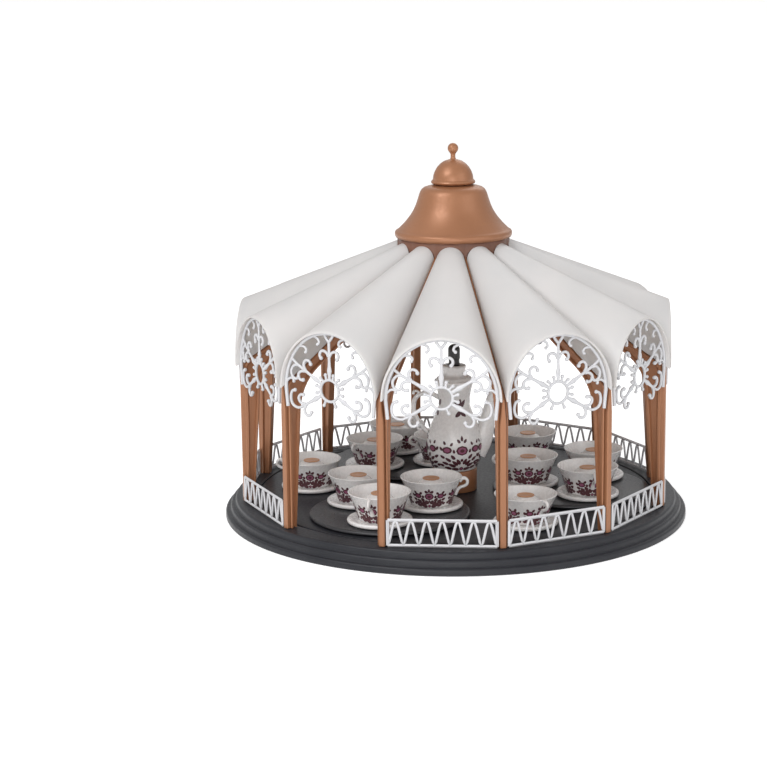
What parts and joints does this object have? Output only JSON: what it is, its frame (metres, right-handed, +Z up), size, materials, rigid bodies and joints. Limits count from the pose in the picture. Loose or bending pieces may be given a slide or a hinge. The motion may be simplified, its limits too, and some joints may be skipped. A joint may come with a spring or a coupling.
{
  "type": "merry go round",
  "caption": "Scale-model teacup merry-go-round: stepped round base, turntable with geared platforms and teacups, coffee pot, copper posts, vaulted white canopies and bell roof",
  "frame": {"origin": "middle of the flat underside of the base", "axes": "+Z up along the turning axis, -Y towards the middle of the first bay, +X to its right"},
  "size_m": [0.19, 0.19, 0.151],
  "materials": {
    "grey_plastic": "moulded dark grey plastic, satin",
    "copper_plastic": "moulded copper-brown plastic, satin",
    "white_plastic": "moulded white plastic, low gloss",
    "canopy_plastic": "thin translucent white plastic",
    "black_plastic": "moulded black plastic",
    "motor_can": "plain steel can",
    "rubber": "soft rubber tyre"
  },
  "bodies": {
    "stand": {"base_ring": "grey_plastic", "base_plate": "grey_plastic", "drive_motor": "motor_can", "rib_01": "copper_plastic", "rib_02": "copper_plastic", "rib_03": "copper_plastic", "rib_04": "copper_plastic", "rib_05": "copper_plastic", "rib_06": "copper_plastic", "rib_07": "copper_plastic", "rib_08": "copper_plastic", "rib_09": "copper_plastic", "rib_10": "copper_plastic", "rib_11": "copper_plastic", "rib_12": "copper_plastic", "canopy_01": "canopy_plastic", "canopy_02": "canopy_plastic", "canopy_03": "canopy_plastic", "canopy_04": "canopy_plastic", "canopy_05": "canopy_plastic", "canopy_06": "canopy_plastic", "canopy_07": "canopy_plastic", "canopy_08": "canopy_plastic", "canopy_09": "canopy_plastic", "canopy_10": "canopy_plastic", "canopy_11": "canopy_plastic", "canopy_12": "canopy_plastic", "fence_01": "white_plastic", "fence_02": "white_plastic", "fence_03": "white_plastic", "fence_04": "white_plastic", "fence_05": "white_plastic", "fence_06": "white_plastic", "fence_07": "white_plastic", "fence_08": "white_plastic", "fence_09": "white_plastic", "fence_10": "white_plastic", "fence_11": "white_plastic", "bell_roof": "copper_plastic", "finial": "copper_plastic"},
    "turntable": {"turntable": "grey_plastic", "pot_stand": "copper_plastic", "coffee_pot": "white_plastic", "pot_knob": "black_plastic"},
    "drive_wheel": {"drive_wheel": "rubber"},
    "platform_1": {"platform_1": "grey_plastic"},
    "platform_2": {"platform_2": "grey_plastic"},
    "platform_3": {"platform_3": "grey_plastic"},
    "teacup_01": {"teacup_01": "white_plastic"},
    "teacup_02": {"teacup_02": "white_plastic"},
    "teacup_03": {"teacup_03": "white_plastic"},
    "teacup_04": {"teacup_04": "white_plastic"},
    "teacup_05": {"teacup_05": "white_plastic"},
    "teacup_06": {"teacup_06": "white_plastic"},
    "teacup_07": {"teacup_07": "white_plastic"},
    "teacup_08": {"teacup_08": "white_plastic"},
    "teacup_09": {"teacup_09": "white_plastic"},
    "teacup_10": {"teacup_10": "white_plastic"},
    "teacup_11": {"teacup_11": "white_plastic"},
    "teacup_12": {"teacup_12": "white_plastic"}
  },
  "joints": [
    {"name": "turntable_spin", "type": "hinge", "parent": "stand", "child": "turntable", "pos_m": [0, 0, 0.006], "axis": [0, 0, 1], "continuous": true},
    {"name": "platform_1_spin", "type": "hinge", "parent": "turntable", "child": "platform_1", "pos_m": [-0.02339, -0.04134, 0.006], "axis": [0, 0, 1], "continuous": true},
    {"name": "platform_2_spin", "type": "hinge", "parent": "turntable", "child": "platform_2", "pos_m": [0.0475, 0.00042, 0.006], "axis": [0, 0, 1], "continuous": true},
    {"name": "platform_3_spin", "type": "hinge", "parent": "turntable", "child": "platform_3", "pos_m": [-0.02411, 0.04093, 0.006], "axis": [0, 0, 1], "continuous": true},
    {"name": "drive_wheel_spin", "type": "hinge", "parent": "stand", "child": "drive_wheel", "pos_m": [0.02014, 0.07515, 0.0045], "axis": [0, 0, 1], "continuous": true},
    {"name": "teacup_01_spin", "type": "hinge", "parent": "platform_1", "child": "teacup_01", "pos_m": [-0.00742, -0.03495, 0.0101], "axis": [0, 0, 1], "continuous": true},
    {"name": "teacup_02_spin", "type": "hinge", "parent": "platform_1", "child": "teacup_02", "pos_m": [-0.03691, -0.0307, 0.0101], "axis": [0, 0, 1], "continuous": true},
    {"name": "teacup_03_spin", "type": "hinge", "parent": "platform_1", "child": "teacup_03", "pos_m": [-0.02584, -0.05837, 0.0101], "axis": [0, 0, 1], "continuous": true},
    {"name": "teacup_04_spin", "type": "hinge", "parent": "platform_2", "child": "teacup_04", "pos_m": [0.05744, 0.01445, 0.0101], "axis": [0, 0, 1], "continuous": true},
    {"name": "teacup_05_spin", "type": "hinge", "parent": "platform_2", "child": "teacup_05", "pos_m": [0.03037, 0.002, 0.0101], "axis": [0, 0, 1], "continuous": true},
    {"name": "teacup_06_spin", "type": "hinge", "parent": "platform_2", "child": "teacup_06", "pos_m": [0.05468, -0.01521, 0.0101], "axis": [0, 0, 1], "continuous": true},
    {"name": "teacup_07_spin", "type": "hinge", "parent": "platform_3", "child": "teacup_07", "pos_m": [-0.02885, 0.05746, 0.0101], "axis": [0, 0, 1], "continuous": true},
    {"name": "teacup_08_spin", "type": "hinge", "parent": "platform_3", "child": "teacup_08", "pos_m": [-0.03606, 0.02855, 0.0101], "axis": [0, 0, 1], "continuous": true},
    {"name": "teacup_09_spin", "type": "hinge", "parent": "platform_3", "child": "teacup_09", "pos_m": [-0.00742, 0.03677, 0.0101], "axis": [0, 0, 1], "continuous": true},
    {"name": "teacup_10_spin", "type": "hinge", "parent": "turntable", "child": "teacup_10", "pos_m": [-0.0597, -0.00052, 0.0081], "axis": [0, 0, 1], "continuous": true},
    {"name": "teacup_11_spin", "type": "hinge", "parent": "turntable", "child": "teacup_11", "pos_m": [0.0303, -0.05144, 0.0081], "axis": [0, 0, 1], "continuous": true},
    {"name": "teacup_12_spin", "type": "hinge", "parent": "turntable", "child": "teacup_12", "pos_m": [0.0294, 0.05196, 0.0081], "axis": [0, 0, 1], "continuous": true}
  ],
  "couplings": [
    {"joint": "platform_1_spin", "follows": "turntable_spin", "ratio": 1.5},
    {"joint": "platform_2_spin", "follows": "turntable_spin", "ratio": 1.5},
    {"joint": "platform_3_spin", "follows": "turntable_spin", "ratio": 1.5},
    {"joint": "drive_wheel_spin", "follows": "turntable_spin", "ratio": -16.222}
  ]
}
